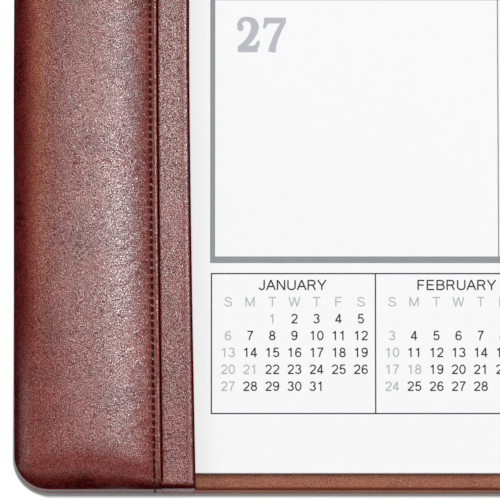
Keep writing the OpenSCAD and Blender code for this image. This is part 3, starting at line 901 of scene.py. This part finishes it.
def makeFloor():
    # a wide plane; beyond the pad's own shadow it is lifted to white for what looks at it: close by, with its
    # distance from the pad's rounded plan, sooner beside the pad than before it; further off, with the
    # distance from its middle
    f = floorLook
    half = f["half"]
    mesh = bpy.data.meshes.new("floor")
    corners = [(-half, -half, 0), (half, -half, 0), (half, half, 0), (-half, half, 0)]
    mesh.from_pydata(corners, [], [(0, 1, 2, 3)])
    floor = bpy.data.objects.new("floor", mesh)
    scene.collection.objects.link(floor)
    mat, shader = newFinish("paleFloor", f["roughness"], 0.0)
    shader.inputs["Base Color"].default_value = (f["grey"], f["grey"], f["grey"], 1)
    place = addNode(mat, "ShaderNodeTexCoord").outputs["Object"]
    away = vectorCalc(mat, "LENGTH", place)["Value"]
    far = mapped(mat, away, *f["far"], 0.0, f["farLift"], smooth=True)
    core = ((pad["halfWidth"] - pad["cornerR"]) * mm, (pad["halfDepth"] - pad["cornerR"]) * mm, 1)
    past = vectorCalc(mat, "SUBTRACT", vectorCalc(mat, "ABSOLUTE", place)["Vector"], core)["Vector"]
    past = vectorCalc(mat, "MAXIMUM", past)["Vector"]
    gap = calc(mat, "SUBTRACT", vectorCalc(mat, "LENGTH", past)["Value"], pad["cornerR"] * mm)
    heading = vectorCalc(mat, "NORMALIZE", past)["Vector"]
    sideways = addNode(mat, "ShaderNodeSeparateXYZ", {0: heading}).outputs["X"]
    sooner = calc(mat, "MULTIPLY_ADD", sideways, f["beside"] - 1, 1.0)
    close = mapped(mat, calc(mat, "MULTIPLY", gap, sooner), *f["close"], 0.0, f["closeLift"])
    ray = addNode(mat, "ShaderNodeLightPath").outputs
    seen = calc(mat, "MULTIPLY_ADD", ray["Is Glossy Ray"], f["glossy"], ray["Is Camera Ray"])
    seen = calc(mat, "ADD", seen, ray["Is Transmission Ray"])
    glow = calc(mat, "MULTIPLY", seen, calc(mat, "ADD", far, close))
    shader.inputs["Emission Color"].default_value = (1, 1, 1, 1)
    mat.node_tree.links.new(glow, shader.inputs["Emission Strength"])
    mesh.materials.append(mat)


makeFloor()
softboxes = {"main": {"place": (1.56, 1.95, 4.78), "aim": (1.56, 1.95, 0), "size": (0.74, 3.2), "watts": 175.0,
                      "colour": (0.86, 0.97, 1)},
             "left": {"place": (-0.46, 2.15, 4.78), "aim": (-0.46, 2.15, 0), "size": (2.12, 3.2), "watts": 80.0,
                      "colour": (1, 0.96, 0.94)},
             "over": {"place": (0.25, -0.55, 4.78), "aim": (0.25, -0.55, 0), "size": (3.5, 1.9), "watts": 40.0,
                      "colour": (1, 0.97, 0.95)},
             "front": {"place": (0.06, -3.65, 2.09), "aim": (0.06, -0.15, 0), "size": (4.4, 1.4), "watts": 34.0,
                       "colour": (1, 1, 1)},
             "cool": {"place": (-2.74, -0.29, 1.39), "aim": (-0.3, -0.2, 0), "size": (1.2, 1.12), "watts": 14.0,
                      "colour": (0.92, 0.88, 1)}}
fill = 0.073
for name, box in softboxes.items():
    lampData = bpy.data.lights.new(name + "Softbox", "AREA")
    lampData.shape = "RECTANGLE"
    lampData.size, lampData.size_y = box["size"]
    lampData.energy = box["watts"]
    lampData.color = box["colour"]
    lamp = bpy.data.objects.new(name + "Softbox", lampData)
    lamp.location = box["place"]
    lamp.rotation_euler = (Vector(box["aim"]) - lamp.location).to_track_quat("-Z", "Y").to_euler()
    lamp.visible_camera = False
    scene.collection.objects.link(lamp)
world = bpy.data.worlds.new("studio")
world.use_nodes = True
world.node_tree.nodes["Background"].inputs["Color"].default_value = (1, 1, 1, 1)
world.node_tree.nodes["Background"].inputs["Strength"].default_value = fill
scene.world = world

shot = {"target": (-0.2591, -0.15284, 0.009), "elevation": 80.0, "lens": 600.0, "across": 0.13722,
        "sensor": 36, "reach": 200}
camData = bpy.data.cameras.new("camera")
camData.lens = shot["lens"]
camData.sensor_width = shot["sensor"]
camData.clip_end = shot["reach"]
camera = bpy.data.objects.new("camera", camData)
scene.collection.objects.link(camera)
tilt = math.radians(shot["elevation"])
back = Vector((0, -math.cos(tilt), math.sin(tilt)))
camera.location = Vector(shot["target"]) + back * (shot["across"] / shot["sensor"] * shot["lens"])
camera.rotation_euler = (-back).to_track_quat("-Z", "Y").to_euler()
scene.camera = camera
print("stage set")
